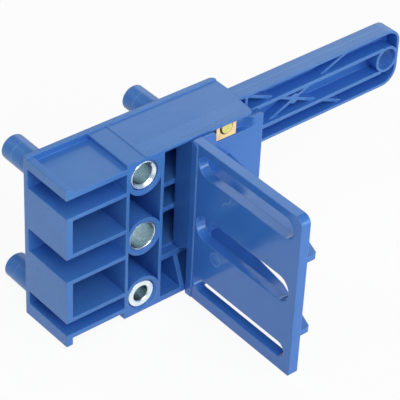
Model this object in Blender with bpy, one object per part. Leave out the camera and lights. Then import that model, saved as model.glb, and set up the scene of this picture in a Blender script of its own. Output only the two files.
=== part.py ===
"""Doweling jig: a ribbed one-piece moulded body with a handle, three drill bushes and a sliding fence.

The shapes are drawn with X along the body towards the handle, from 0 on the axes of the bushes,
Y from the body's front face, at 0, to its back, and Z up from the underside.
Every dimension is in millimetres. The finished objects are in metres, and the whole jig is set
down with the centre of its bounding box's underside at the origin.
"""

import math

import bmesh
import bpy
from mathutils import Matrix, Vector

MM = 0.001

# Body: overall
BODY_HEIGHT = 66.0
BODY_DEPTH = 23.5
LEFT_REACH = 31.6
RIGHT_REACH = 47.4
BACK_WALL = 2.0
BACK_WALL_PROUD = 0.5
REAR_CORNER_RADIUS = 1.8
TOP_DRAFT = 0.25
UNDERSIDE_DRAFT = 0.6

# Drill bushes and the column that carries them
BUSH_END_MARGIN = 8.0
BUSH_OUTER = 12.0
BUSH_BORES = {"bush_6mm": 6.0, "bush_10mm": 10.0, "bush_8mm": 8.0}
BUSH_PROUD = 0.4
BUSH_CHAMFER = 0.35
BUSH_CLEARANCE = 0.2
BOSS_WALL = 1.15
COLUMN_WALL = 1.15
COLUMN_LEFT_SHOULDER = 0.05
COLUMN_RIGHT_SHOULDER = 0.65
CENTRE_BEAD_WIDTH = 1.2
CENTRE_BEAD_RISE = 0.25

# Gauge slots and hollow boxes left of the column
GAUGE_TIGHTNESS = 0.6
LEFT_RIM = 2.5
BOX_WALL = 1.45
TRAY_FLOOR = 1.9
BOTTOM_SHELF = 1.8

# Fence guide right of the column
COVER_THICKNESS = 1.3
BOTTOM_PLATE = 2.7
RIGHT_WALL = 2.0
RAIL_SETBACK = 8.0
RAIL_THICKNESS = 1.9
RAIL_OFFSETS = (9.9, -0.55)
LEDGE_TOP = 16.1
LEDGE_THICKNESS = 2.2
LEDGE_SETBACK = 4.6
LEDGE_STEP = 0.7
GUSSET_OFFSET = 9.0
GUSSET_THICKNESS = 1.7
COVER_RELIEF = 0.9
COVER_RELIEF_TAPER = 0.7
COVER_RELIEF_END = 11.3
COVER_NOSE = 0.8

# Pegs on the back
PEG_OFFSET = 25.0
PEG_DIAMETER = 9.5
PEG_LENGTH = 15.7
PEG_CHAMFER = 0.5

# Handle
HANDLE_LENGTH = 77.7
HANDLE_SETBACK = 10.4
HANDLE_DEPTH = 7.1
HANDLE_TOP_DROP = 2.5
HANDLE_HEIGHT = 23.2
HANDLE_RISE = 1.25
HANDLE_WALL = 1.0
HANDLE_WEB = 1.5
HANDLE_TOP_RADIUS = 6.0
HANDLE_BOTTOM_RADIUS = 6.5
HANDLE_RIB = 1.4
HANDLE_RIB_SPACING = 9.5
HANDLE_RIB_DROP = 7.65
HANDLE_RIB_RISE = 1.55
EYE_BORE = 8.5
EYE_WALL = 1.0
EYE_INSET = 5.45
EYE_RIB_STOP = 2.1
BRACE_THICKNESS = 1.2
BRACE_RECESS = 1.7
BRACE_HUB = 4.0
BRACE_HUB_SHARE = 0.37
FALLING_BRACE_DROP = 33.8
RISING_BRACE_CLIMB = 33.4
CROSS_RIB_OFFSET = 4.5

# Fence
FENCE_FACE_X = 19.2
FENCE_THICKNESS = 3.8
FENCE_REACH = 54.6
FENCE_SHORTFALL = 1.0
FENCE_DROP = 0.4
FENCE_TOP_CORNER = 3.0
FENCE_BOTTOM_CORNER = 0.8
FENCE_SLOT_PLAY = 0.2
FENCE_SLOT_START = 4.2
FENCE_SLOT_MARGIN = 3.4
FENCE_STRIP_WIDTH = 3.0
FENCE_STRIP_RISE = 0.4
FENCE_RIB_THICKNESS = 2.2
FENCE_RIB_OVER_SLOT = 8.9
FENCE_RIB_UNDER_SLOT = 10.4
FENCE_RIB_TIP = 3.9
FENCE_RIB_KNEE = 11.4
FENCE_RIB_KNEE_SETBACK = 21.6
FENCE_RIB_ROOT = 16.8
ROOT_FLANGE_WIDTH = 5.8
ROOT_FLANGE_THICKNESS = 0.9
ROOT_FLANGE_RADIUS = 2.0
MOULDED_STEP = 0.1

# Carriage: the part of the fence that slides in the guide
RUNNING_CLEARANCE = 0.3
CARRIAGE_WIDTH = 35.3
CARRIAGE_PLATE = 3.5
CARRIAGE_FRONT_LIFT = 2.7
CARRIAGE_EAR_DROP = 5.1
CARRIAGE_EAR_WIDTH = 7.4
CARRIAGE_EAR_SLOPE = 1.5
POCKET_WEB = 1.0
POCKET_PLAY_LEFT = 2.4
POCKET_PLAY_RIGHT = 4.2
POCKET_RAMP = 4.4
SCREW_SLOT_REACH = 5.0

# Clamp
SCREW_DIAMETER = 5.0
SCREW_HOLE_CLEARANCE = 0.3
SCREW_X = 37.95
NUT_WIDTH = 8.7
NUT_THICKNESS = 2.2
NUT_BORE_CLEARANCE = 0.25
SCREW_TIP_PROUD = 0.45
SEAT_GAP = 0.2
WASHER_DIAMETER = 10.0
WASHER_THICKNESS = 0.8
HEAD_DIAMETER = 8.6
HEAD_HEIGHT = 2.4
HEAD_SLOT_WIDTH = 1.2
HEAD_SLOT_DEPTH = 1.1

# Facets
BUSH_FACETS = 64
ROUND_FACETS = 48
CORNER_FACETS = 6

# Sizes that follow from those above
MID_HEIGHT = BODY_HEIGHT / 2.0
BUSH_PITCH = MID_HEIGHT - BUSH_END_MARGIN
BUSH_HEIGHTS = {
    "bush_6mm": MID_HEIGHT - BUSH_PITCH,
    "bush_10mm": MID_HEIGHT,
    "bush_8mm": MID_HEIGHT + BUSH_PITCH,
}
BUSH_SEAT_RADIUS = BUSH_OUTER / 2.0 + BUSH_CLEARANCE
BOSS_RADIUS = BUSH_SEAT_RADIUS + BOSS_WALL
COLUMN_LEFT = -BOSS_RADIUS - COLUMN_LEFT_SHOULDER
COLUMN_RIGHT = BOSS_RADIUS + COLUMN_RIGHT_SHOULDER
TOP_FACE = BODY_HEIGHT - BACK_WALL_PROUD
COVER_UNDERSIDE = TOP_FACE - COVER_THICKNESS
POCKET_DEPTH = BODY_DEPTH - BACK_WALL
WINDOW_RIGHT = RIGHT_REACH - RIGHT_WALL
HANDLE_END = RIGHT_REACH + HANDLE_LENGTH
BRACE_HUB_X = RIGHT_REACH + HANDLE_LENGTH * BRACE_HUB_SHARE
FALLING_SLOPE = FALLING_BRACE_DROP / HANDLE_LENGTH
RISING_SLOPE = RISING_BRACE_CLIMB / HANDLE_LENGTH
FENCE_HEIGHT = BODY_HEIGHT - FENCE_SHORTFALL
FENCE_RIGHT_X = FENCE_FACE_X + FENCE_THICKNESS
FENCE_BACK_Y = -RUNNING_CLEARANCE
CARRIAGE_BACK_Y = RAIL_SETBACK - RUNNING_CLEARANCE
CARRIAGE_FRONT_Y = CARRIAGE_BACK_Y - CARRIAGE_PLATE
CARRIAGE_RIGHT_X = FENCE_FACE_X + CARRIAGE_WIDTH
NUT_HEIGHT = COVER_UNDERSIDE - RUNNING_CLEARANCE - NUT_WIDTH / 2.0
NUT_BACK_Y = CARRIAGE_BACK_Y - POCKET_WEB - SEAT_GAP
NUT_FRONT_Y = NUT_BACK_Y - NUT_THICKNESS
POCKET_FLOOR = NUT_HEIGHT - NUT_WIDTH / 2.0 - RUNNING_CLEARANCE
POCKET_LEFT_X = SCREW_X - NUT_WIDTH / 2.0 - POCKET_PLAY_LEFT
POCKET_RIGHT_X = SCREW_X + NUT_WIDTH / 2.0 + POCKET_PLAY_RIGHT
BEYOND = 2.0
STAND = Vector((
    (HANDLE_END - LEFT_REACH) / 2.0,
    (BODY_DEPTH + PEG_LENGTH - FENCE_REACH) / 2.0,
    -FENCE_DROP,
))


def new_object(name, bm):
    """Turn a bmesh in millimetres into a named object in metres."""
    bmesh.ops.scale(bm, vec=(MM, MM, MM), verts=bm.verts)
    bmesh.ops.recalc_face_normals(bm, faces=bm.faces)
    mesh = bpy.data.meshes.new(name)
    bm.to_mesh(mesh)
    bm.free()
    obj = bpy.data.objects.new(name, mesh)
    bpy.context.scene.collection.objects.link(obj)
    return obj


def prism(name, outline, start, end, axis):
    """Extrude an outline along an axis: 'X' takes (y, z) points, 'Y' (x, z) and 'Z' (x, y)."""
    place = {
        "X": lambda u, v: (start, u, v),
        "Y": lambda u, v: (u, start, v),
        "Z": lambda u, v: (u, v, start),
    }[axis]
    along = {"X": Vector((1, 0, 0)), "Y": Vector((0, 1, 0)), "Z": Vector((0, 0, 1))}[axis]
    bm = bmesh.new()
    face = bm.faces.new([bm.verts.new(place(u, v)) for u, v in outline])
    result = bmesh.ops.extrude_face_region(bm, geom=[face])
    moved = [item for item in result["geom"] if isinstance(item, bmesh.types.BMVert)]
    bmesh.ops.translate(bm, verts=moved, vec=along * (end - start))
    return new_object(name, bm)


def box(name, x0, x1, y0, y1, z0, z1):
    return prism(name, [(x0, z0), (x1, z0), (x1, z1), (x0, z1)], y0, y1, "Y")


def turned(name, profile, x, z, facets):
    """Turn a closed (radius, y) profile about the line along Y through (x, z)."""
    bm = bmesh.new()
    rings = []
    for step in range(facets):
        angle = 2.0 * math.pi * step / facets
        ring = []
        for radius, y in profile:
            ring.append(bm.verts.new((x + radius * math.cos(angle), y, z + radius * math.sin(angle))))
        rings.append(ring)
    count = len(profile)
    for step in range(facets):
        here = rings[step]
        there = rings[(step + 1) % facets]
        for k in range(count):
            quad = [here[k], here[(k + 1) % count], there[(k + 1) % count], there[k]]
            bm.faces.new(quad)
    bmesh.ops.remove_doubles(bm, verts=bm.verts, dist=0.0001)
    return new_object(name, bm)


def circle_points(cx, cz, radius, facets):
    points = []
    for step in range(facets):
        angle = 2.0 * math.pi * step / facets
        points.append((cx + radius * math.cos(angle), cz + radius * math.sin(angle)))
    return points


def rod(name, x, z, radius, y0, y1, facets=ROUND_FACETS):
    """A plain cylinder along Y."""
    return prism(name, circle_points(x, z, radius, facets), y0, y1, "Y")


def filleted(corners):
    """Round the corners of an outline. Each corner is (u, v, radius)."""
    points = []
    count = len(corners)
    for i in range(count):
        u, v, radius = corners[i]
        here = Vector((u, v))
        before = Vector(corners[i - 1][:2]) - here
        after = Vector(corners[(i + 1) % count][:2]) - here
        if radius <= 0.0:
            points.append((u, v))
            continue
        half = before.angle(after) / 2.0
        setback = radius / math.tan(half)
        limit = 0.49 * min(before.length, after.length)
        if setback > limit:
            setback = limit
            radius = setback * math.tan(half)
        start = here + before.normalized() * setback
        finish = here + after.normalized() * setback
        middle = here + (before.normalized() + after.normalized()).normalized() * (radius / math.sin(half))
        a = start - middle
        b = finish - middle
        sweep = a.angle_signed(b)
        for step in range(CORNER_FACETS + 1):
            turn = Matrix.Rotation(-sweep * step / CORNER_FACETS, 2)
            spot = middle + turn @ a
            points.append((spot.x, spot.y))
    return points


def stadium(u0, u1, v, height):
    """A slot outline with round ends, from u0 to u1, centred at height v."""
    radius = height / 2.0
    points = []
    half = ROUND_FACETS // 3
    for step in range(half + 1):
        angle = -math.pi / 2.0 + math.pi * step / half
        points.append((u1 - radius + radius * math.cos(angle), v + radius * math.sin(angle)))
    for step in range(half + 1):
        angle = math.pi / 2.0 + math.pi * step / half
        points.append((u0 + radius + radius * math.cos(angle), v + radius * math.sin(angle)))
    return points


def bar_outline(start, end, thickness):
    """The outline of a straight rib between two points."""
    a = Vector(start)
    b = Vector(end)
    along = (b - a).normalized()
    side = Vector((-along.y, along.x)) * (thickness / 2.0)
    return [tuple(a - side), tuple(b - side), tuple(b + side), tuple(a + side)]


def combine(target, tool, operation):
    """Join or cut the target with the tool, keep the result and drop the tool."""
    modifier = target.modifiers.new(operation.lower(), "BOOLEAN")
    modifier.operation = operation
    modifier.solver = "EXACT"
    modifier.object = tool
    depsgraph = bpy.context.evaluated_depsgraph_get()
    mesh = bpy.data.meshes.new_from_object(target.evaluated_get(depsgraph))
    target.modifiers.remove(modifier)
    old = target.data
    target.data = mesh
    bpy.data.meshes.remove(old)
    tool_mesh = tool.data
    bpy.data.objects.remove(tool)
    bpy.data.meshes.remove(tool_mesh)


def add(target, tool):
    combine(target, tool, "UNION")


def cut(target, tool):
    combine(target, tool, "DIFFERENCE")


def material(name, colour, roughness, metallic):
    mat = bpy.data.materials.new(name)
    mat.use_nodes = True
    shader = mat.node_tree.nodes["Principled BSDF"]
    shader.inputs["Base Color"].default_value = (colour[0], colour[1], colour[2], 1.0)
    shader.inputs["Roughness"].default_value = roughness
    shader.inputs["Metallic"].default_value = metallic
    return mat


def finish(obj, name, mat, origin):
    """Name the object, give it its material and its origin, and set the jig down on Z = 0."""
    obj.name = name
    obj.data.name = name
    obj.data.transform(Matrix.Translation(-Vector(origin) * MM))
    obj.location = (Vector(origin) - STAND) * MM
    obj.data.materials.clear()
    obj.data.materials.append(mat)
    obj.data.shade_smooth()
    obj.data.set_sharp_from_angle(angle=math.radians(32.0))


def body_blank():
    """The block that the pockets are cut from, with a rounded rear corner and moulding draft."""
    corners = [
        (-LEFT_REACH, 0.0, 0.0),
        (RIGHT_REACH, 0.0, 0.0),
        (RIGHT_REACH, BODY_DEPTH, REAR_CORNER_RADIUS),
        (-LEFT_REACH, BODY_DEPTH, 0.0),
    ]
    body = prism("jig_body", filleted(corners), 0.0, BODY_HEIGHT, "Z")
    top = [
        (-BEYOND, TOP_FACE - TOP_DRAFT * (POCKET_DEPTH + BEYOND) / POCKET_DEPTH),
        (POCKET_DEPTH, TOP_FACE),
        (POCKET_DEPTH, BODY_HEIGHT + BEYOND),
        (-BEYOND, BODY_HEIGHT + BEYOND),
    ]
    cut(body, prism("top draft", top, -LEFT_REACH - BEYOND, RIGHT_REACH + BEYOND, "X"))
    underside = [
        (-BEYOND, -BEYOND),
        (POCKET_DEPTH, -BEYOND),
        (POCKET_DEPTH, 0.0),
        (-BEYOND, UNDERSIDE_DRAFT * (POCKET_DEPTH + BEYOND) / POCKET_DEPTH),
    ]
    cut(body, prism("underside draft", underside, -LEFT_REACH - BEYOND, RIGHT_REACH + BEYOND, "X"))
    return body


def cut_left_section(body):
    """Three gauge slots level with the bushes, with hollow boxes between them and a tray on top."""
    left = -LEFT_REACH + LEFT_RIM
    slots = []
    for name in ("bush_6mm", "bush_10mm", "bush_8mm"):
        half = (BUSH_BORES[name] - GAUGE_TIGHTNESS) / 2.0
        slots.append((BUSH_HEIGHTS[name] - half, BUSH_HEIGHTS[name] + half))
    for low, high in slots:
        cut(body, box("slot", -LEFT_REACH - BEYOND, COLUMN_LEFT, -BEYOND, POCKET_DEPTH, low, high))
    for below, above in zip(slots[:-1], slots[1:]):
        low = below[1] + BOX_WALL
        high = above[0] - BOX_WALL
        cut(body, box("box", left, COLUMN_LEFT, -BEYOND, POCKET_DEPTH, low, high))
    tray = slots[2][1] + TRAY_FLOOR
    cut(body, box("tray", left, COLUMN_LEFT, -BEYOND, POCKET_DEPTH, tray, BODY_HEIGHT + BEYOND))
    under = slots[0][0] - BOTTOM_SHELF
    cut(body, box("under", left, COLUMN_LEFT, -BEYOND, POCKET_DEPTH, -BEYOND, under))


def cut_column(body):
    """Open cells between the bosses, and a bore through each boss."""
    left = COLUMN_LEFT + COLUMN_WALL
    right = COLUMN_RIGHT - COLUMN_WALL
    order = ["bush_6mm", "bush_10mm", "bush_8mm"]
    for below, above in zip(order[:-1], order[1:]):
        low = BUSH_HEIGHTS[below]
        high = BUSH_HEIGHTS[above]
        cell = box("cell", left, right, -BEYOND, POCKET_DEPTH, low, high)
        for height in (low, high):
            cut(cell, rod("boss", 0.0, height, BOSS_RADIUS, -2.0 * BEYOND, BODY_DEPTH, BUSH_FACETS))
        cut(body, cell)
    for name in order:
        height = BUSH_HEIGHTS[name]
        cut(body, rod("bore", 0.0, height, BUSH_SEAT_RADIUS, -BEYOND, BODY_DEPTH + BEYOND, BUSH_FACETS))


def cut_guide(body):
    """The open guide that the carriage slides in, with rails and a ledge behind it."""
    channel = [
        (-BEYOND, BOTTOM_PLATE),
        (0.0, BOTTOM_PLATE),
        (LEDGE_SETBACK, LEDGE_TOP - LEDGE_THICKNESS),
        (LEDGE_SETBACK, LEDGE_TOP),
        (RAIL_SETBACK, LEDGE_TOP),
        (RAIL_SETBACK, COVER_UNDERSIDE),
        (-BEYOND, COVER_UNDERSIDE),
    ]
    cut(body, prism("channel", channel, COLUMN_RIGHT, RIGHT_REACH + BEYOND, "X"))
    rails = [LEDGE_TOP + LEDGE_STEP]
    for offset in reversed(RAIL_OFFSETS):
        rails.append(MID_HEIGHT + offset - RAIL_THICKNESS / 2.0)
        rails.append(MID_HEIGHT + offset + RAIL_THICKNESS / 2.0)
    rails.append(COVER_UNDERSIDE)
    for low, high in zip(rails[0::2], rails[1::2]):
        cut(body, box("cell", COLUMN_RIGHT, WINDOW_RIGHT, -BEYOND, POCKET_DEPTH, low, high))
    gusset = COLUMN_RIGHT + GUSSET_OFFSET
    low = BOTTOM_PLATE
    high = LEDGE_TOP - LEDGE_THICKNESS
    cut(body, box("cell", COLUMN_RIGHT, gusset, -BEYOND, POCKET_DEPTH, low, high))
    cut(body, box("cell", gusset + GUSSET_THICKNESS, WINDOW_RIGHT, -BEYOND, POCKET_DEPTH, low, high))
    relief = [
        (RIGHT_REACH - COVER_RELIEF, COVER_RELIEF_END - COVER_RELIEF),
        (RIGHT_REACH, COVER_RELIEF_END),
        (RIGHT_REACH + BEYOND, COVER_RELIEF_END),
        (RIGHT_REACH + BEYOND, -BEYOND),
        (RIGHT_REACH - COVER_RELIEF - COVER_RELIEF_TAPER - COVER_NOSE, -BEYOND),
        (RIGHT_REACH - COVER_RELIEF - COVER_RELIEF_TAPER - COVER_NOSE, 0.0),
        (RIGHT_REACH - COVER_RELIEF - COVER_RELIEF_TAPER, COVER_NOSE),
    ]
    cut(body, prism("relief", relief, COVER_UNDERSIDE, BODY_HEIGHT + BEYOND, "Z"))


def add_bead(body):
    """A fine raised line on the top, with its left edge over the axes of the bushes."""
    top = [
        (0.0, TOP_FACE - COVER_THICKNESS / 2.0),
        (POCKET_DEPTH + BACK_WALL / 2.0, TOP_FACE - COVER_THICKNESS / 2.0),
        (POCKET_DEPTH + BACK_WALL / 2.0, TOP_FACE + CENTRE_BEAD_RISE),
        (0.0, TOP_FACE + CENTRE_BEAD_RISE - TOP_DRAFT),
    ]
    add(body, prism("bead", top, 0.0, CENTRE_BEAD_WIDTH, "X"))


def handle():
    """A channel-section handle: a rim and a web, two long ribs, bracing and a hanging eye."""
    root = RIGHT_REACH - RIGHT_WALL / 2.0
    top_root = BODY_HEIGHT - HANDLE_TOP_DROP
    top_end = top_root + HANDLE_RISE
    bottom_root = top_root - HANDLE_HEIGHT
    bottom_end = top_end - HANDLE_HEIGHT
    front = HANDLE_SETBACK
    back = HANDLE_SETBACK + HANDLE_DEPTH
    floor = back - HANDLE_WEB
    outline = [
        (root, bottom_root, 0.0),
        (HANDLE_END, bottom_end, HANDLE_BOTTOM_RADIUS),
        (HANDLE_END, top_end, HANDLE_TOP_RADIUS),
        (root, top_root, 0.0),
    ]
    grip = prism("handle", filleted(outline), front, back, "Y")
    wall = HANDLE_WALL
    inner = [
        (RIGHT_REACH - wall / 2.0, bottom_root + wall, 0.0),
        (HANDLE_END - wall, bottom_end + wall, HANDLE_BOTTOM_RADIUS - wall),
        (HANDLE_END - wall, top_end - wall, HANDLE_TOP_RADIUS - wall),
        (RIGHT_REACH - wall / 2.0, top_root - wall, 0.0),
    ]
    cut(grip, prism("hollow", filleted(inner), front - BEYOND, floor, "Y"))

    upper_root = top_root - HANDLE_RIB_DROP
    lower_root = upper_root - HANDLE_RIB_SPACING
    eye_x = HANDLE_END - EYE_INSET
    eye_z = upper_root + HANDLE_RIB_RISE - HANDLE_RIB_SPACING / 2.0

    def upper_z(x):
        return upper_root + HANDLE_RIB_RISE * (x - root) / (eye_x - root)

    rib_end = eye_x - EYE_RIB_STOP
    upper = bar_outline((root, upper_root), (rib_end, upper_z(rib_end)), HANDLE_RIB)
    lower = bar_outline((root, lower_root), (rib_end, upper_z(rib_end) - HANDLE_RIB_SPACING), HANDLE_RIB)
    sunk = floor + HANDLE_WEB / 2.0
    add(grip, prism("upper rib", upper, front + MOULDED_STEP, sunk, "Y"))
    add(grip, prism("lower rib", lower, front + MOULDED_STEP, sunk, "Y"))

    hub_z = upper_z(BRACE_HUB_X) - HANDLE_RIB_SPACING / 2.0
    top_line = top_root - wall / 2.0
    bottom_line = bottom_root + wall / 2.0
    fall_start = (BRACE_HUB_X - (top_line - hub_z) / FALLING_SLOPE, top_line)
    fall_end = (BRACE_HUB_X + (hub_z - bottom_line) / FALLING_SLOPE, bottom_line)
    rise_reach = HANDLE_RIB_SPACING / 2.0
    rise_start = (BRACE_HUB_X - rise_reach / RISING_SLOPE, hub_z - rise_reach)
    rise_end = (BRACE_HUB_X + (top_line - hub_z) / RISING_SLOPE, top_line)
    brace_front = front + BRACE_RECESS
    for start, end in ((fall_start, fall_end), (rise_start, rise_end)):
        add(grip, prism("brace", bar_outline(start, end, BRACE_THICKNESS), brace_front, sunk, "Y"))
    add(grip, rod("hub", BRACE_HUB_X, hub_z, BRACE_HUB / 2.0, brace_front, sunk, ROUND_FACETS // 2))
    cross = [
        (RIGHT_REACH + CROSS_RIB_OFFSET, upper_z(RIGHT_REACH + CROSS_RIB_OFFSET)),
        (RIGHT_REACH + CROSS_RIB_OFFSET, top_line),
    ]
    add(grip, prism("cross rib", bar_outline(cross[0], cross[1], BRACE_THICKNESS), front, sunk, "Y"))
    add(grip, rod("eye", eye_x, eye_z, EYE_BORE / 2.0 + EYE_WALL, front, sunk))
    cut(grip, rod("eye bore", eye_x, eye_z, EYE_BORE / 2.0, front - BEYOND, back + BEYOND))
    return grip


def add_pegs(body):
    """Four chamfered pegs on the back, level with the upper and lower bushes."""
    radius = PEG_DIAMETER / 2.0
    end = BODY_DEPTH + PEG_LENGTH
    profile = [
        (0.0, BODY_DEPTH - BACK_WALL / 2.0),
        (radius, BODY_DEPTH - BACK_WALL / 2.0),
        (radius, end - PEG_CHAMFER),
        (radius - PEG_CHAMFER, end),
        (0.0, end),
    ]
    for x in (-PEG_OFFSET, PEG_OFFSET):
        for z in (MID_HEIGHT - BUSH_PITCH, MID_HEIGHT + BUSH_PITCH):
            add(body, turned("peg", profile, x, z, ROUND_FACETS))


def build_body(mat):
    body = body_blank()
    cut_left_section(body)
    cut_column(body)
    cut_guide(body)
    add_bead(body)
    add(body, handle())
    add_pegs(body)
    hole = SCREW_DIAMETER / 2.0 + SCREW_HOLE_CLEARANCE
    cut(body, rod("screw hole", SCREW_X, NUT_HEIGHT, hole, RAIL_SETBACK, BODY_DEPTH + BEYOND))
    finish(body, "jig_body", mat, (0.0, 0.0, 0.0))


def build_fence(mat):
    """The slotted fence plate with its ribs, in one piece with the carriage that slides in the guide."""
    bottom = -FENCE_DROP
    top = FENCE_HEIGHT - FENCE_DROP
    guide_top = COVER_UNDERSIDE - RUNNING_CLEARANCE
    guide_bottom = LEDGE_TOP + RUNNING_CLEARANCE
    front_bottom = guide_bottom + CARRIAGE_FRONT_LIFT
    sole = LEDGE_SETBACK - RUNNING_CLEARANCE
    outline = [
        (FENCE_BACK_Y, bottom, 0.0),
        (-FENCE_REACH, bottom, FENCE_BOTTOM_CORNER),
        (-FENCE_REACH, top, FENCE_TOP_CORNER),
        (FENCE_BACK_Y, top, 0.0),
        (FENCE_BACK_Y, guide_top, 0.0),
        (CARRIAGE_BACK_Y, guide_top, 0.0),
        (CARRIAGE_BACK_Y, guide_bottom, 0.0),
        (sole, guide_bottom, 0.0),
        (RUNNING_CLEARANCE, front_bottom, 0.0),
        (FENCE_BACK_Y, front_bottom, 0.0),
    ]
    fence = prism("fence", filleted(outline), FENCE_FACE_X, FENCE_RIGHT_X, "X")

    overlap = FENCE_THICKNESS / 4.0
    ear_top = guide_top - CARRIAGE_EAR_DROP
    ear_left = CARRIAGE_RIGHT_X - CARRIAGE_EAR_WIDTH
    plate = [
        (FENCE_RIGHT_X - overlap, guide_bottom),
        (CARRIAGE_RIGHT_X, guide_bottom),
        (CARRIAGE_RIGHT_X, ear_top),
        (ear_left, ear_top),
        (ear_left - CARRIAGE_EAR_SLOPE, guide_top),
        (FENCE_RIGHT_X - overlap, guide_top),
    ]
    add(fence, prism("plate", plate, CARRIAGE_FRONT_Y, CARRIAGE_BACK_Y, "Y"))

    flange = [
        (FENCE_RIGHT_X - overlap, bottom + MOULDED_STEP, 0.0),
        (FENCE_RIGHT_X + ROOT_FLANGE_WIDTH, bottom + MOULDED_STEP, ROOT_FLANGE_RADIUS),
        (FENCE_RIGHT_X + ROOT_FLANGE_WIDTH, top - MOULDED_STEP, ROOT_FLANGE_RADIUS),
        (FENCE_RIGHT_X - overlap, top - MOULDED_STEP, 0.0),
    ]
    flange_back = FENCE_BACK_Y - MOULDED_STEP
    flange_front = flange_back - ROOT_FLANGE_THICKNESS
    add(fence, prism("root flange", filleted(flange), flange_front, flange_back, "Y"))

    rib_end = CARRIAGE_FRONT_Y + overlap / 10.0
    rib_front = -FENCE_REACH + MOULDED_STEP
    rib = [
        (FENCE_RIGHT_X - overlap, rib_front, 0.0),
        (FENCE_RIGHT_X + FENCE_RIB_TIP, rib_front, FENCE_RIB_TIP / 3.0),
        (FENCE_RIGHT_X + FENCE_RIB_KNEE, -FENCE_REACH + FENCE_RIB_KNEE_SETBACK, 0.0),
        (FENCE_RIGHT_X + FENCE_RIB_ROOT, rib_end, 0.0),
        (FENCE_RIGHT_X - overlap, rib_end, 0.0),
    ]
    lower_rib = BUSH_HEIGHTS["bush_6mm"] - FENCE_DROP + FENCE_RIB_OVER_SLOT
    upper_rib = BUSH_HEIGHTS["bush_8mm"] - FENCE_DROP - FENCE_RIB_UNDER_SLOT
    for middle in (lower_rib, upper_rib):
        low = middle - FENCE_RIB_THICKNESS / 2.0
        high = middle + FENCE_RIB_THICKNESS / 2.0
        add(fence, prism("rib", filleted(rib), low, high, "Z"))

    strip_back = FENCE_BACK_Y - MOULDED_STEP
    strip = [
        (strip_back, bottom + MOULDED_STEP, 0.0),
        (strip_back - FENCE_STRIP_WIDTH, bottom + MOULDED_STEP, 0.0),
        (strip_back - FENCE_STRIP_WIDTH, top - FENCE_STRIP_RISE, FENCE_STRIP_WIDTH / 3.0),
        (strip_back, top - FENCE_STRIP_RISE, 0.0),
    ]
    strip_face = FENCE_FACE_X - FENCE_STRIP_RISE
    add(fence, prism("strip", filleted(strip), strip_face, FENCE_FACE_X + overlap, "X"))

    for name, bore in BUSH_BORES.items():
        slot = stadium(-FENCE_REACH + FENCE_SLOT_MARGIN, -FENCE_SLOT_START,
                       BUSH_HEIGHTS[name] - FENCE_DROP, bore + FENCE_SLOT_PLAY)
        cut(fence, prism("slot", slot, FENCE_FACE_X - BEYOND, FENCE_RIGHT_X + BEYOND, "X"))

    floor = CARRIAGE_BACK_Y - POCKET_WEB
    rise = floor - CARRIAGE_FRONT_Y
    recess = [(POCKET_LEFT_X, floor), (POCKET_LEFT_X, CARRIAGE_FRONT_Y - BEYOND)]
    recess.append((POCKET_RIGHT_X + POCKET_RAMP, CARRIAGE_FRONT_Y - BEYOND))
    for step in range(CORNER_FACETS, -1, -1):
        share = step / CORNER_FACETS
        eased = share * share * (3.0 - 2.0 * share)
        recess.append((POCKET_RIGHT_X + POCKET_RAMP * share, floor - rise * eased))
    cut(fence, prism("recess", recess, POCKET_FLOOR, guide_top + BEYOND, "Z"))
    half = SCREW_DIAMETER / 2.0 + SCREW_HOLE_CLEARANCE
    slot_left = SCREW_X - half - POCKET_PLAY_LEFT
    slot_right = SCREW_X + half + SCREW_SLOT_REACH
    slot = stadium(slot_left, slot_right, NUT_HEIGHT, 2.0 * half)
    cut(fence, prism("screw slot", slot, CARRIAGE_FRONT_Y, CARRIAGE_BACK_Y + BEYOND, "Y"))
    finish(fence, "fence", mat, (FENCE_FACE_X, CARRIAGE_BACK_Y, LEDGE_TOP))


def build_bushes(mat):
    """Plain turned sleeves, chamfered at both ends."""
    for name, bore in BUSH_BORES.items():
        outer = BUSH_OUTER / 2.0
        inner = bore / 2.0
        c = BUSH_CHAMFER
        front = -BUSH_PROUD
        back = BODY_DEPTH
        profile = [
            (inner, front + c),
            (inner + c, front),
            (outer - c, front),
            (outer, front + c),
            (outer, back - c),
            (outer - c, back),
            (inner + c, back),
            (inner, back - c),
        ]
        bush = turned(name, profile, 0.0, BUSH_HEIGHTS[name], BUSH_FACETS)
        finish(bush, name, mat, (0.0, 0.0, BUSH_HEIGHTS[name]))


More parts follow.
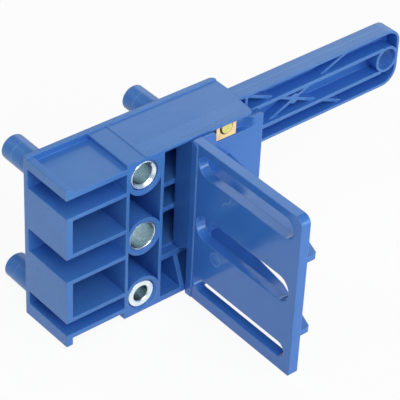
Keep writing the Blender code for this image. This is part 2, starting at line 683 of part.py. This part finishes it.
def build_clamp(steel, brass):
    """A square nut held in the carriage's pocket, and the slotted screw and washer behind the back wall."""
    half = NUT_WIDTH / 2.0
    outline = [
        (SCREW_X - half, NUT_HEIGHT - half, 0.0),
        (SCREW_X + half, NUT_HEIGHT - half, 0.0),
        (SCREW_X + half, NUT_HEIGHT + half, 0.0),
        (SCREW_X - half, NUT_HEIGHT + half, 0.0),
    ]
    nut = prism("square_nut", filleted(outline), NUT_FRONT_Y, NUT_BACK_Y, "Y")
    bore = SCREW_DIAMETER / 2.0 + NUT_BORE_CLEARANCE
    cut(nut, rod("bore", SCREW_X, NUT_HEIGHT, bore, NUT_FRONT_Y - BEYOND, NUT_BACK_Y + BEYOND))
    finish(nut, "square_nut", brass, (SCREW_X, NUT_FRONT_Y, NUT_HEIGHT))

    washer_front = BODY_DEPTH + SEAT_GAP
    washer_back = washer_front + WASHER_THICKNESS
    hole = SCREW_DIAMETER / 2.0 + SCREW_HOLE_CLEARANCE
    ring = [
        (hole, washer_front),
        (WASHER_DIAMETER / 2.0, washer_front),
        (WASHER_DIAMETER / 2.0, washer_back),
        (hole, washer_back),
    ]
    washer = turned("clamp_washer", ring, SCREW_X, NUT_HEIGHT, ROUND_FACETS)
    finish(washer, "clamp_washer", steel, (SCREW_X, washer_front, NUT_HEIGHT))

    head_front = washer_back + SEAT_GAP
    head_back = head_front + HEAD_HEIGHT
    radius = SCREW_DIAMETER / 2.0
    tip = NUT_FRONT_Y - SCREW_TIP_PROUD
    chamfer = radius / 8.0
    profile = [
        (0.0, tip),
        (radius - chamfer, tip),
        (radius, tip + chamfer),
        (radius, head_front),
        (HEAD_DIAMETER / 2.0, head_front),
    ]
    dome = 8
    for step in range(dome + 1):
        angle = 0.5 * math.pi * step / dome
        reach = HEAD_DIAMETER / 2.0 * math.cos(angle)
        profile.append((reach, head_front + HEAD_HEIGHT * (0.35 + 0.65 * math.sin(angle))))
    screw = turned("clamp_screw", profile, SCREW_X, NUT_HEIGHT, ROUND_FACETS)
    slot = box("driver slot", SCREW_X - HEAD_SLOT_WIDTH / 2.0, SCREW_X + HEAD_SLOT_WIDTH / 2.0,
               head_back - HEAD_SLOT_DEPTH, head_back + BEYOND,
               NUT_HEIGHT - HEAD_DIAMETER, NUT_HEIGHT + HEAD_DIAMETER)
    cut(screw, slot)
    finish(screw, "clamp_screw", steel, (SCREW_X, head_front, NUT_HEIGHT))


def main():
    for obj in list(bpy.data.objects):
        bpy.data.objects.remove(obj)
    blue = material("blue plastic", (0.035, 0.130, 0.480), 0.38, 0.0)
    fence_blue = material("fence plastic", (0.035, 0.130, 0.480), 0.34, 0.0)
    zinc = material("bright zinc", (0.72, 0.74, 0.76), 0.28, 1.0)
    yellow = material("yellow zinc", (0.62, 0.58, 0.22), 0.35, 1.0)
    copper = material("nut plating", (0.80, 0.52, 0.30), 0.38, 1.0)
    build_body(blue)
    build_fence(fence_blue)
    build_bushes(zinc)
    build_clamp(yellow, copper)


main()
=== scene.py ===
"""Looks of the doweling jig: moulded blue plastic, plated bushes and clamp, studio floor and light."""

import math

import bpy
from mathutils import Matrix, Vector


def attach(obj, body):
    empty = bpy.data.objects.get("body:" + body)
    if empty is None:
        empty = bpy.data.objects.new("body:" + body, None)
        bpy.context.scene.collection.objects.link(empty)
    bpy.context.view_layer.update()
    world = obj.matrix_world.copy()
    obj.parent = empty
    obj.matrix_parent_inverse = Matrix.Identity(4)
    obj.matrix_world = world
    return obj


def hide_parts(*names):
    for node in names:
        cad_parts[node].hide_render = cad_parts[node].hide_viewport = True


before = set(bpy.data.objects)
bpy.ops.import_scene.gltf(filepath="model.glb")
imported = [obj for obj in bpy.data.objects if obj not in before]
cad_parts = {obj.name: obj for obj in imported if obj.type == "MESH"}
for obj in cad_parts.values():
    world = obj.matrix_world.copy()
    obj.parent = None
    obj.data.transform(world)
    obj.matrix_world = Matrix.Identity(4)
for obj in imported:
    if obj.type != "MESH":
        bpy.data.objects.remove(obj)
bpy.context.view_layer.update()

# The row frame is the drawing of the jig moved by this much, in millimetres: the drawing has
# X from the bush axes, Y from the body's front face and Z from the underside.
DRAWING = Vector((46.75, -7.7, -0.4))
MM = 1000.0


def at(x, y, z):
    """A point of the drawing, in millimetres, in the row frame, in metres."""
    return (Vector((x, y, z)) - DRAWING) / MM


# Camera: the photograph's view

CAMERA_PLACE = (-307.4, -380.9, 417.2)
CAMERA_AZIMUTH = math.radians(41.03)
CAMERA_ELEVATION = math.radians(36.94)
CAMERA_ROLL = math.radians(2.88)
CAMERA_LENS = 168.07
CAMERA_SENSOR = 36.0
CAMERA_NEAR = 0.01
CAMERA_FAR = 20.0


def place_camera():
    data = bpy.data.cameras.new("camera")
    data.sensor_width = CAMERA_SENSOR
    data.lens = CAMERA_LENS
    data.clip_start = CAMERA_NEAR
    data.clip_end = CAMERA_FAR
    camera = bpy.data.objects.new("camera", data)
    bpy.context.scene.collection.objects.link(camera)
    sin_a, cos_a = math.sin(CAMERA_AZIMUTH), math.cos(CAMERA_AZIMUTH)
    sin_e, cos_e = math.sin(CAMERA_ELEVATION), math.cos(CAMERA_ELEVATION)
    ahead = Vector((sin_a * cos_e, cos_a * cos_e, -sin_e))
    right = Vector((cos_a, -sin_a, 0.0))
    up = right.cross(ahead)
    sin_r, cos_r = math.sin(CAMERA_ROLL), math.cos(CAMERA_ROLL)
    rolled_right = right * cos_r + up * sin_r
    rolled_up = up * cos_r - right * sin_r
    turn = Matrix((rolled_right, rolled_up, -ahead)).transposed().to_4x4()
    camera.matrix_world = Matrix.Translation(at(*CAMERA_PLACE)) @ turn
    bpy.context.scene.camera = camera


# Node helpers

BEVEL_SAMPLES = 6
OPENNESS_SAMPLES = 6
OPENNESS_LOW = 0.20
OPENNESS_HIGH = 0.75
EDGE_START = 0.995
EDGE_FULL = 0.80


class Graph:
    """A material's nodes, with short calls for the kinds used here."""

    def __init__(self, name):
        self.material = bpy.data.materials.new(name)
        self.material.use_nodes = True
        self.tree = self.material.node_tree
        self.shader = self.tree.nodes["Principled BSDF"]
        self.output = self.tree.nodes["Material Output"]

    def add(self, kind, **settings):
        node = self.tree.nodes.new(kind)
        for name, value in settings.items():
            setattr(node, name, value)
        return node

    def feed(self, socket, value):
        if isinstance(value, bpy.types.NodeSocket):
            self.tree.links.new(value, socket)
        else:
            socket.default_value = value

    def math(self, operation, a, b=0.0, c=0.0):
        node = self.add("ShaderNodeMath", operation=operation)
        for socket, value in zip(node.inputs, (a, b, c)):
            self.feed(socket, value)
        return node.outputs[0]

    def vector(self, operation, *values):
        """A node that does the operation on vectors."""
        node = self.add("ShaderNodeVectorMath", operation=operation)
        for socket, value in zip(node.inputs, values):
            self.feed(socket, value)
        return node

    def ramp(self, value, low, high, to_low=0.0, to_high=1.0):
        """A smooth step between two values, clamped at both ends."""
        node = self.add("ShaderNodeMapRange", clamp=True, interpolation_type="SMOOTHSTEP")
        self.feed(node.inputs["Value"], value)
        for name, x in (("From Min", low), ("From Max", high), ("To Min", to_low), ("To Max", to_high)):
            self.feed(node.inputs[name], x)
        return node.outputs[0]

    def noise(self, vector, scale, detail):
        node = self.add("ShaderNodeTexNoise")
        self.feed(node.inputs["Vector"], vector)
        node.inputs["Scale"].default_value = scale
        node.inputs["Detail"].default_value = detail
        return node.outputs[0]

    def mix(self, factor, a, b):
        node = self.add("ShaderNodeMix", data_type="RGBA")
        self.feed(node.inputs[0], factor)
        self.feed(node.inputs[6], a)
        self.feed(node.inputs[7], b)
        return node.outputs[2]

    def bump(self, height, strength, distance, normal):
        node = self.add("ShaderNodeBump")
        node.inputs["Strength"].default_value = strength
        node.inputs["Distance"].default_value = distance
        self.feed(node.inputs["Height"], height)
        self.feed(node.inputs["Normal"], normal)
        return node.outputs[0]

    def place(self):
        return self.add("ShaderNodeTexCoord").outputs["Object"]

    def parts(self, vector):
        node = self.add("ShaderNodeSeparateXYZ")
        self.feed(node.inputs[0], vector)
        return node.outputs[0], node.outputs[1], node.outputs[2]

    def scaled(self, vector, factors):
        node = self.add("ShaderNodeMapping")
        self.feed(node.inputs["Vector"], vector)
        node.inputs["Scale"].default_value = factors
        return node.outputs[0]

    def drawn(self):
        """The drawing's X, Y and Z of each point, in millimetres."""
        moved = self.vector("MULTIPLY_ADD", self.place(), (MM, MM, MM), DRAWING)
        return self.parts(moved.outputs[0])

    def length(self, a, b):
        """The length of a line that goes a one way and b square to it."""
        return self.math("SQRT", self.math("ADD", self.math("MULTIPLY", a, a), self.math("MULTIPLY", b, b)))

    def near(self, value, middle, half, soft):
        """1 within half of the middle, falling to 0 over the soft distance."""
        distance = self.math("ABSOLUTE", self.math("SUBTRACT", value, middle))
        return self.ramp(distance, half, half + soft, 1.0, 0.0)

    def all_of(self, *masks):
        result = masks[0]
        for mask in masks[1:]:
            result = self.math("MULTIPLY", result, mask)
        return result

    def openness(self, distance):
        """1 on open faces, less where the object's own walls are near."""
        node = self.add("ShaderNodeAmbientOcclusion", samples=OPENNESS_SAMPLES)
        node.inputs["Distance"].default_value = distance
        return self.ramp(node.outputs["AO"], OPENNESS_LOW, OPENNESS_HIGH)

    def soft_edges(self, radius):
        """The normal, with every edge rounded by the radius."""
        bevel = self.add("ShaderNodeBevel", samples=BEVEL_SAMPLES)
        bevel.inputs["Radius"].default_value = radius
        return bevel.outputs[0]

    def edge(self, soft):
        """How far each point is rounded: 1 on a sharp edge, 0 on a flat face."""
        flat = self.add("ShaderNodeNewGeometry").outputs["Normal"]
        dot = self.vector("DOT_PRODUCT", soft, flat)
        return self.ramp(dot.outputs["Value"], EDGE_START, EDGE_FULL)


# Marks of the mould, in millimetres of the drawing. Each band is its middle, half its width and
# the soft border beyond it.

TICK_STEP = 1.0
TICK_FULL = 0.10
TICK_END = 0.26
TICK_FRONT = 2.7
TICK_BACK = 7.5
TICK_STRENGTH = 0.55
LONG_TICK_STEP = 5.0
LONG_TICK_FULL = 0.3
LONG_TICK_END = 0.5
LONG_TICK_FORWARD = 0.9
LONG_TICK_BACKWARD = 0.6
COVER_LENGTH = (24.0, 22.6, 0.1)
COVER_TOP = (65.4, 0.4, 0.1)

PARTING_LINE = (14.2, 0.05, 0.22)
PARTING_LENGTH = (85.0, 36.0, 1.0)
PARTING_TOP = (65.0, 2.0, 0.3)
PEG_RING = (33.6, 0.06, 0.16)
PEG_HEIGHTS = (33.0, 32.0, 0.5)

FENCE_FACE = (19.2, 0.15, 0.05)
PIN_Y = -14.8
PIN_Z = 23.4
PIN_RING = (2.4, 0.08, 0.22)
SCUFF_LEAN = 0.60
SCUFF_CLIMB = 0.80
SCUFF_WIDTH = (14.7, 0.16, 0.26)
SCUFF_LENGTH = (50.9, 2.9, 1.2)
WAVE_START = 47.4
WAVE_RATE = 0.9
WAVE_REACH = 0.55


def body_marks(g, x, y, z):
    """The ticks on the cover, and the fine lines: the handle's parting line and a ring on each peg."""
    fifth = g.ramp(g.math("PINGPONG", x, LONG_TICK_STEP / 2.0), LONG_TICK_FULL, LONG_TICK_END, 1.0, 0.0)
    line = g.ramp(g.math("PINGPONG", x, TICK_STEP / 2.0), TICK_FULL, TICK_END, 1.0, 0.0)
    start = g.math("MULTIPLY_ADD", fifth, -LONG_TICK_FORWARD, TICK_FRONT)
    end = g.math("MULTIPLY_ADD", fifth, LONG_TICK_BACKWARD, TICK_BACK)
    inside = g.math("MULTIPLY", g.math("GREATER_THAN", y, start), g.math("LESS_THAN", y, end))
    on_cover = g.all_of(g.near(x, *COVER_LENGTH), g.near(z, *COVER_TOP))
    ticks = g.all_of(line, inside, on_cover)
    parting = g.all_of(g.near(y, *PARTING_LINE), g.near(x, *PARTING_LENGTH), g.near(z, *PARTING_TOP))
    peg_ring = g.all_of(g.near(y, *PEG_RING), g.near(z, *PEG_HEIGHTS))
    return g.math("MULTIPLY", ticks, TICK_STRENGTH), g.math("MAXIMUM", parting, peg_ring)


def fence_marks(g, x, y, z):
    """A short wavy scuff on the fence's face, and the fine round mark of an ejector pin."""
    on_face = g.near(x, *FENCE_FACE)
    away = g.length(g.math("SUBTRACT", y, PIN_Y), g.math("SUBTRACT", z, PIN_Z))
    pin_ring = g.all_of(g.near(away, *PIN_RING), on_face)
    along = g.math("ADD", g.math("MULTIPLY", y, -SCUFF_LEAN), g.math("MULTIPLY", z, SCUFF_CLIMB))
    aside = g.math("ADD", g.math("MULTIPLY", y, SCUFF_CLIMB), g.math("MULTIPLY", z, SCUFF_LEAN))
    phase = g.math("MULTIPLY", g.math("SUBTRACT", along, WAVE_START), WAVE_RATE)
    wave = g.math("MULTIPLY", g.math("SINE", phase), WAVE_REACH)
    on_line = g.near(g.math("SUBTRACT", aside, wave), *SCUFF_WIDTH)
    scuff = g.all_of(on_line, g.near(along, *SCUFF_LENGTH), on_face)
    return scuff, pin_ring


# Moulded plastic. Noise scales are per metre, and depths, radii and reaches are in metres.

PLASTIC = (0.052, 0.182, 0.52, 1.0)
PLASTIC_PALE = (0.062, 0.200, 0.55, 1.0)
# The deep blue is painted shade for recesses. The worn blue is a painted highlight on rounded edges, and
# also the pale tint of the scuffs and marks.
PLASTIC_SHADED_DEEP = (0.034, 0.155, 0.56, 1.0)
PLASTIC_HIGHLIGHT_AND_WEAR = (0.140, 0.330, 0.70, 1.0)
PLASTIC_SHINE = (0.70, 0.92, 1.0, 1.0)
PLASTIC_EDGE = 0.00045
EDGE_HIGHLIGHT = 0.75
RECESS_SHADE_REACH = 0.012
PALE_MARKS = 0.80
FINE_MARKS = 0.60
MARK_DEPTH = 0.00006
SEED_STEP = (0.37, 0.11, 0.23)
CLOUD_SCALE = 38.0
PATCH_SCALE = 210.0
RUB_SCALE = (40.0, 420.0, 420.0)
GRAIN_SCALE = 2600.0
GRAIN_DEPTH = 0.00006
GRAIN_GLOSS = 0.08
WAVE_SCALE = 70.0
WAVE_DEPTH = 0.0006


def plastic(name, seed, marks, low, high, gloss, depth):
    """Blue plastic of a roughness from low to high, with painted shade, a deeper blue, in its recesses and
    a painted highlight, pale and in patches, on its edges.

    Depth is the share of the deep blue of the painted recess shade that its open faces get too.
    """
    g = Graph(name)
    spot = g.vector("ADD", g.place(), [seed * step for step in SEED_STEP]).outputs[0]
    soft = g.soft_edges(PLASTIC_EDGE)
    pale_marks, fine_marks = marks(g, *g.drawn())

    cloud = g.noise(spot, CLOUD_SCALE, 3.0)
    grain = g.noise(spot, GRAIN_SCALE, 2.0)
    patchy = g.ramp(g.noise(spot, PATCH_SCALE, 3.0), 0.25, 0.65, 0.55, 1.0)
    # Painted highlight: rounded edges are painted pale, in patches, where light would catch them.
    edge_highlight = g.math("MULTIPLY", g.math("MULTIPLY", g.edge(soft), patchy), EDGE_HIGHLIGHT)
    colour = g.mix(g.ramp(cloud, 0.35, 0.75), PLASTIC, PLASTIC_PALE)
    # Painted shade: where the object's own walls are near, the blue turns deeper and darker.
    colour = g.mix(g.math("MULTIPLY", g.openness(RECESS_SHADE_REACH), 1.0 - depth), PLASTIC_SHADED_DEEP, colour)
    colour = g.mix(edge_highlight, colour, PLASTIC_HIGHLIGHT_AND_WEAR)
    colour = g.mix(g.math("MULTIPLY", pale_marks, PALE_MARKS), colour, PLASTIC_HIGHLIGHT_AND_WEAR)
    colour = g.mix(g.math("MULTIPLY", fine_marks, FINE_MARKS), colour, PLASTIC_HIGHLIGHT_AND_WEAR)
    g.feed(g.shader.inputs["Base Color"], colour)

    rub = g.noise(g.scaled(spot, RUB_SCALE), 1.0, 2.0)
    fine = g.math("MULTIPLY", g.math("SUBTRACT", grain, 0.5), GRAIN_GLOSS)
    g.feed(g.shader.inputs["Roughness"], g.math("ADD", g.ramp(rub, 0.3, 0.7, low, high), fine))

    normal = g.bump(g.noise(spot, WAVE_SCALE, 2.0), 0.25, WAVE_DEPTH, soft)
    normal = g.bump(grain, 0.10, GRAIN_DEPTH, normal)
    normal = g.bump(g.math("MAXIMUM", pale_marks, fine_marks), 0.5, MARK_DEPTH, normal)
    g.feed(g.shader.inputs["Normal"], normal)
    g.shader.inputs["Specular IOR Level"].default_value = gloss
    g.shader.inputs["Specular Tint"].default_value = PLASTIC_SHINE
    return g


# Metal, with lengths in metres and noise scales per metre

ZINC = (0.83, 0.93, 0.98, 1.0)
ZINC_DULL = (0.75, 0.85, 0.91, 1.0)
COPPER = (0.97, 0.76, 0.46, 1.0)
COPPER_DULL = (0.88, 0.65, 0.36, 1.0)
YELLOW = (0.84, 0.78, 0.28, 1.0)
YELLOW_DULL = (0.72, 0.66, 0.20, 1.0)
# Painted shade: a bore's wall and edge, and the gap round the clamp screw in the nut, get a darker ring
# where shadow falls.
BORE_SHADE = (0.60, 0.71, 0.74, 1.0)
DARK_RING_SHADE = (0.10, 0.07, 0.04, 1.0)
SHADE_RING_WIDTH = 0.00016
SHADE_RING_STRENGTH = 0.65
NUT_SHADE_RING = 0.0027
METAL_EDGE = 0.00018
RING_SCALE = 5200.0
RING_DEPTH = 0.00003
RING_GLOSS = 0.08
STAIN_SCALE = 420.0
CLAMP = at(37.95, 0.0, 59.55)


def metal(name, colour, dull, low, high, centre, seed, shade_ring=0.0, shade=DARK_RING_SHADE):
    """Plated metal of a roughness from low to high, with fine rings about the axis along Y.

    The axis runs through the centre. Where a radius for a shade ring is given, a ring of painted shade lies
    at that radius, for the shadow in a bore.
    """
    g = Graph(name)
    soft = g.soft_edges(METAL_EDGE)
    off = g.vector("SUBTRACT", g.place(), centre).outputs[0]
    x, y, z = g.parts(off)
    radius = g.length(x, z)
    turned = g.add("ShaderNodeCombineXYZ")
    for socket, value in zip(turned.inputs, (radius, y, seed)):
        g.feed(socket, value)
    rings = g.noise(turned.outputs[0], RING_SCALE, 2.0)
    stain = g.noise(off, STAIN_SCALE, 3.0)
    tone = g.mix(g.ramp(stain, 0.35, 0.7), colour, dull)
    # Painted shade: a darker ring at the given radius stands in for the shadow in a bore.
    if shade_ring:
        in_shade_ring = g.near(radius, shade_ring, SHADE_RING_WIDTH, SHADE_RING_WIDTH)
        tone = g.mix(g.math("MULTIPLY", in_shade_ring, SHADE_RING_STRENGTH), tone, shade)
    g.feed(g.shader.inputs["Base Color"], tone)
    g.shader.inputs["Metallic"].default_value = 1.0
    rough = g.math("ADD", g.ramp(stain, 0.3, 0.75, low, high), g.math("MULTIPLY", rings, RING_GLOSS))
    g.feed(g.shader.inputs["Roughness"], rough)
    g.feed(g.shader.inputs["Normal"], g.bump(rings, 0.25, RING_DEPTH, soft))
    return g


def paint(node, g):
    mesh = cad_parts[node].data
    mesh.materials.clear()
    mesh.materials.append(g.material)


# Bushes, in millimetres: each has its node, its bore, the width of its countersink and its height

BUSHES = (
    ("bush_6mm", 6.0, 0.35, 8.0),
    ("bush_10mm", 10.0, 0.22, 33.0),
    ("bush_8mm", 8.0, 0.85, 58.0),
)
BUSH_OUTER = 5.4
BUSH_SUNK = 0.5
BUSH_CHAMFER = 0.3
THIN_RIM = 0.3
SINK_SLOPE = 1.2
SEAT_OUTER = 6.2
SEAT_PLAY = 0.22
SEAT_FRONT = 0.22
SEAT_CHAMFER = 0.15
BUSH_STEPS = 96
SHARP_ANGLE = math.radians(25.0)


def ring(name, profile, height, material):
    """A ring turned about a bush's axis from a closed outline of radius and Y."""
    points, faces = [], []
    count = len(profile)
    for step in range(BUSH_STEPS):
        angle = math.tau * step / BUSH_STEPS
        for radius, y in profile:
            points.append(at(radius * math.cos(angle), y, height + radius * math.sin(angle)))
        here, ahead = step * count, (step + 1) % BUSH_STEPS * count
        for i in range(count):
            j = (i + 1) % count
            faces.append((here + i, here + j, ahead + j, ahead + i))
    mesh = bpy.data.meshes.new(name)
    mesh.from_pydata(points, [], faces)
    mesh.polygons.foreach_set("use_smooth", [True] * len(faces))
    mesh.set_sharp_from_angle(angle=SHARP_ANGLE)
    mesh.materials.append(material)
    piece = bpy.data.objects.new(name, mesh)
    bpy.context.scene.collection.objects.link(piece)
    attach(piece, "jig")
    return piece


def build_bush(node, bore, sink, height, material, seat_material):
    """A bush sunk below its boss and countersunk in front, in a seat of the body's plastic."""
    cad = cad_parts[node]
    back = max((cad.matrix_world @ Vector(corner)).y for corner in cad.bound_box) * MM + DRAWING.y
    inner = bore / 2.0
    chamfer = min(BUSH_CHAMFER, THIN_RIM * (BUSH_OUTER - inner))
    profile = [
        (inner, back),
        (inner, BUSH_SUNK + SINK_SLOPE * sink),
        (inner + sink, BUSH_SUNK),
        (BUSH_OUTER - chamfer, BUSH_SUNK),
        (BUSH_OUTER, BUSH_SUNK + chamfer),
        (BUSH_OUTER, back),
    ]
    bush = ring(node + "_turned", profile, height, material)
    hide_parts(node)
    near = BUSH_OUTER + SEAT_PLAY
    seat = [
        (near, back),
        (near, SEAT_FRONT + SEAT_CHAMFER),
        (near + SEAT_CHAMFER, SEAT_FRONT),
        (SEAT_OUTER, SEAT_FRONT),
        (SEAT_OUTER, back),
    ]
    ring(node + "_seat", seat, height, seat_material)


# Floor and light. Shares are how much of the plain white a ray sees in place of the lit floor.

FLOOR_SIZE = 8.0
FLOOR_COLOUR = (0.86, 0.86, 0.86, 1.0)
FLOOR_SEEN = 0.92
FLOOR_MIRRORED = 0.90
ROOM_COLOUR = (0.80, 0.90, 1.0, 1.0)
ROOM = 0.04
GLOSSY_ROOM = 0.46
LAMP_AIM = Vector((0.0, 0.0, 0.03))
LAMP_DISTANCE = 1.2

# Each lamp's angle round the jig from the front, its angle above the floor, its side and its power
LAMPS = (
    ("top", 0.0, 74.0, 0.9, 4.2),
    ("left front", -30.0, 42.0, 0.5, 5.2),
    ("left", -90.0, 14.0, 0.5, 2.2),
    ("right front", 36.0, 11.0, 0.5, 3.4),
    ("front", 0.0, 22.0, 0.5, 3.2),
    ("right", 75.0, 12.0, 0.5, 2.0),
    ("back", 135.0, 27.0, 0.6, 1.9),
    ("rear", 195.0, 22.0, 0.6, 3.0),
)


def build_floor():
    bpy.ops.mesh.primitive_plane_add(size=FLOOR_SIZE, location=(0.0, 0.0, 0.0))
    floor = bpy.context.object
    floor.name = "floor"
    g = Graph("floor")
    diffuse = g.add("ShaderNodeBsdfDiffuse")
    diffuse.inputs["Color"].default_value = FLOOR_COLOUR
    glow = g.add("ShaderNodeEmission")
    rays = g.add("ShaderNodeLightPath").outputs
    seen = g.math("MAXIMUM", rays["Is Camera Ray"], rays["Is Transmission Ray"])
    seen_share = g.math("MULTIPLY", seen, FLOOR_SEEN)
    mirrored_share = g.math("MULTIPLY", rays["Is Glossy Ray"], FLOOR_MIRRORED)
    blend = g.add("ShaderNodeMixShader")
    g.feed(blend.inputs[0], g.math("MAXIMUM", seen_share, mirrored_share))
    g.feed(blend.inputs[1], diffuse.outputs[0])
    g.feed(blend.inputs[2], glow.outputs[0])
    g.feed(g.output.inputs["Surface"], blend.outputs[0])
    g.tree.nodes.remove(g.shader)
    floor.data.materials.append(g.material)


def build_world():
    """A pale blue room, dim as a light and brighter in reflections."""
    world = bpy.data.worlds.new("studio")
    bpy.context.scene.world = world
    world.use_nodes = True
    tree = world.node_tree
    background = tree.nodes["Background"]
    background.inputs["Color"].default_value = ROOM_COLOUR
    rays = tree.nodes.new("ShaderNodeLightPath")
    seen = tree.nodes.new("ShaderNodeMath")
    seen.operation = "MAXIMUM"
    tree.links.new(rays.outputs["Is Camera Ray"], seen.inputs[0])
    tree.links.new(rays.outputs["Is Transmission Ray"], seen.inputs[1])
    shine = tree.nodes.new("ShaderNodeMath")
    shine.operation = "MULTIPLY_ADD"
    tree.links.new(rays.outputs["Is Glossy Ray"], shine.inputs[0])
    shine.inputs[1].default_value = GLOSSY_ROOM
    shine.inputs[2].default_value = ROOM
    level = tree.nodes.new("ShaderNodeMath")
    level.operation = "MAXIMUM"
    tree.links.new(seen.outputs[0], level.inputs[0])
    tree.links.new(shine.outputs[0], level.inputs[1])
    tree.links.new(level.outputs[0], background.inputs["Strength"])


def softbox(name, azimuth, elevation, side, power):
    """A square lamp that faces the jig."""
    data = bpy.data.lights.new(name, "AREA")
    data.shape = "SQUARE"
    data.size = side
    data.energy = power
    lamp = bpy.data.objects.new(name, data)
    bpy.context.scene.collection.objects.link(lamp)
    turn, rise = math.radians(azimuth), math.radians(elevation)
    away = Vector((math.sin(turn) * math.cos(rise), -math.cos(turn) * math.cos(rise), math.sin(rise)))
    lamp.location = LAMP_AIM + away * LAMP_DISTANCE
    lamp.rotation_euler = away.to_track_quat("Z", "Y").to_euler()


place_camera()
body_plastic = plastic("body_plastic", 1.0, body_marks, low=0.28, high=0.32, gloss=0.46, depth=0.0)
fence_plastic = plastic("fence_plastic", 2.0, fence_marks, low=0.11, high=0.14, gloss=0.50, depth=0.4)
paint("jig_body", body_plastic)
paint("fence", fence_plastic)

for bush, bore, sink, height in BUSHES:
    axis = at(0.0, 0.0, height)
    zinc = metal(bush + "_zinc", ZINC, ZINC_DULL, 0.19, 0.26, axis, height, bore / 2.0 / MM, BORE_SHADE)
    build_bush(bush, bore, sink, height, zinc.material, body_plastic.material)
paint("square_nut", metal("nut_metal", COPPER, COPPER_DULL, 0.30, 0.46, CLAMP, 1.0, NUT_SHADE_RING))
paint("clamp_screw", metal("screw_metal", YELLOW, YELLOW_DULL, 0.28, 0.42, CLAMP, 2.0))
paint("clamp_washer", metal("washer_metal", YELLOW, YELLOW_DULL, 0.28, 0.42, CLAMP, 3.0))

build_floor()
build_world()
for lamp_settings in LAMPS:
    softbox(*lamp_settings)

bpy.context.scene.view_settings.view_transform = "Standard"
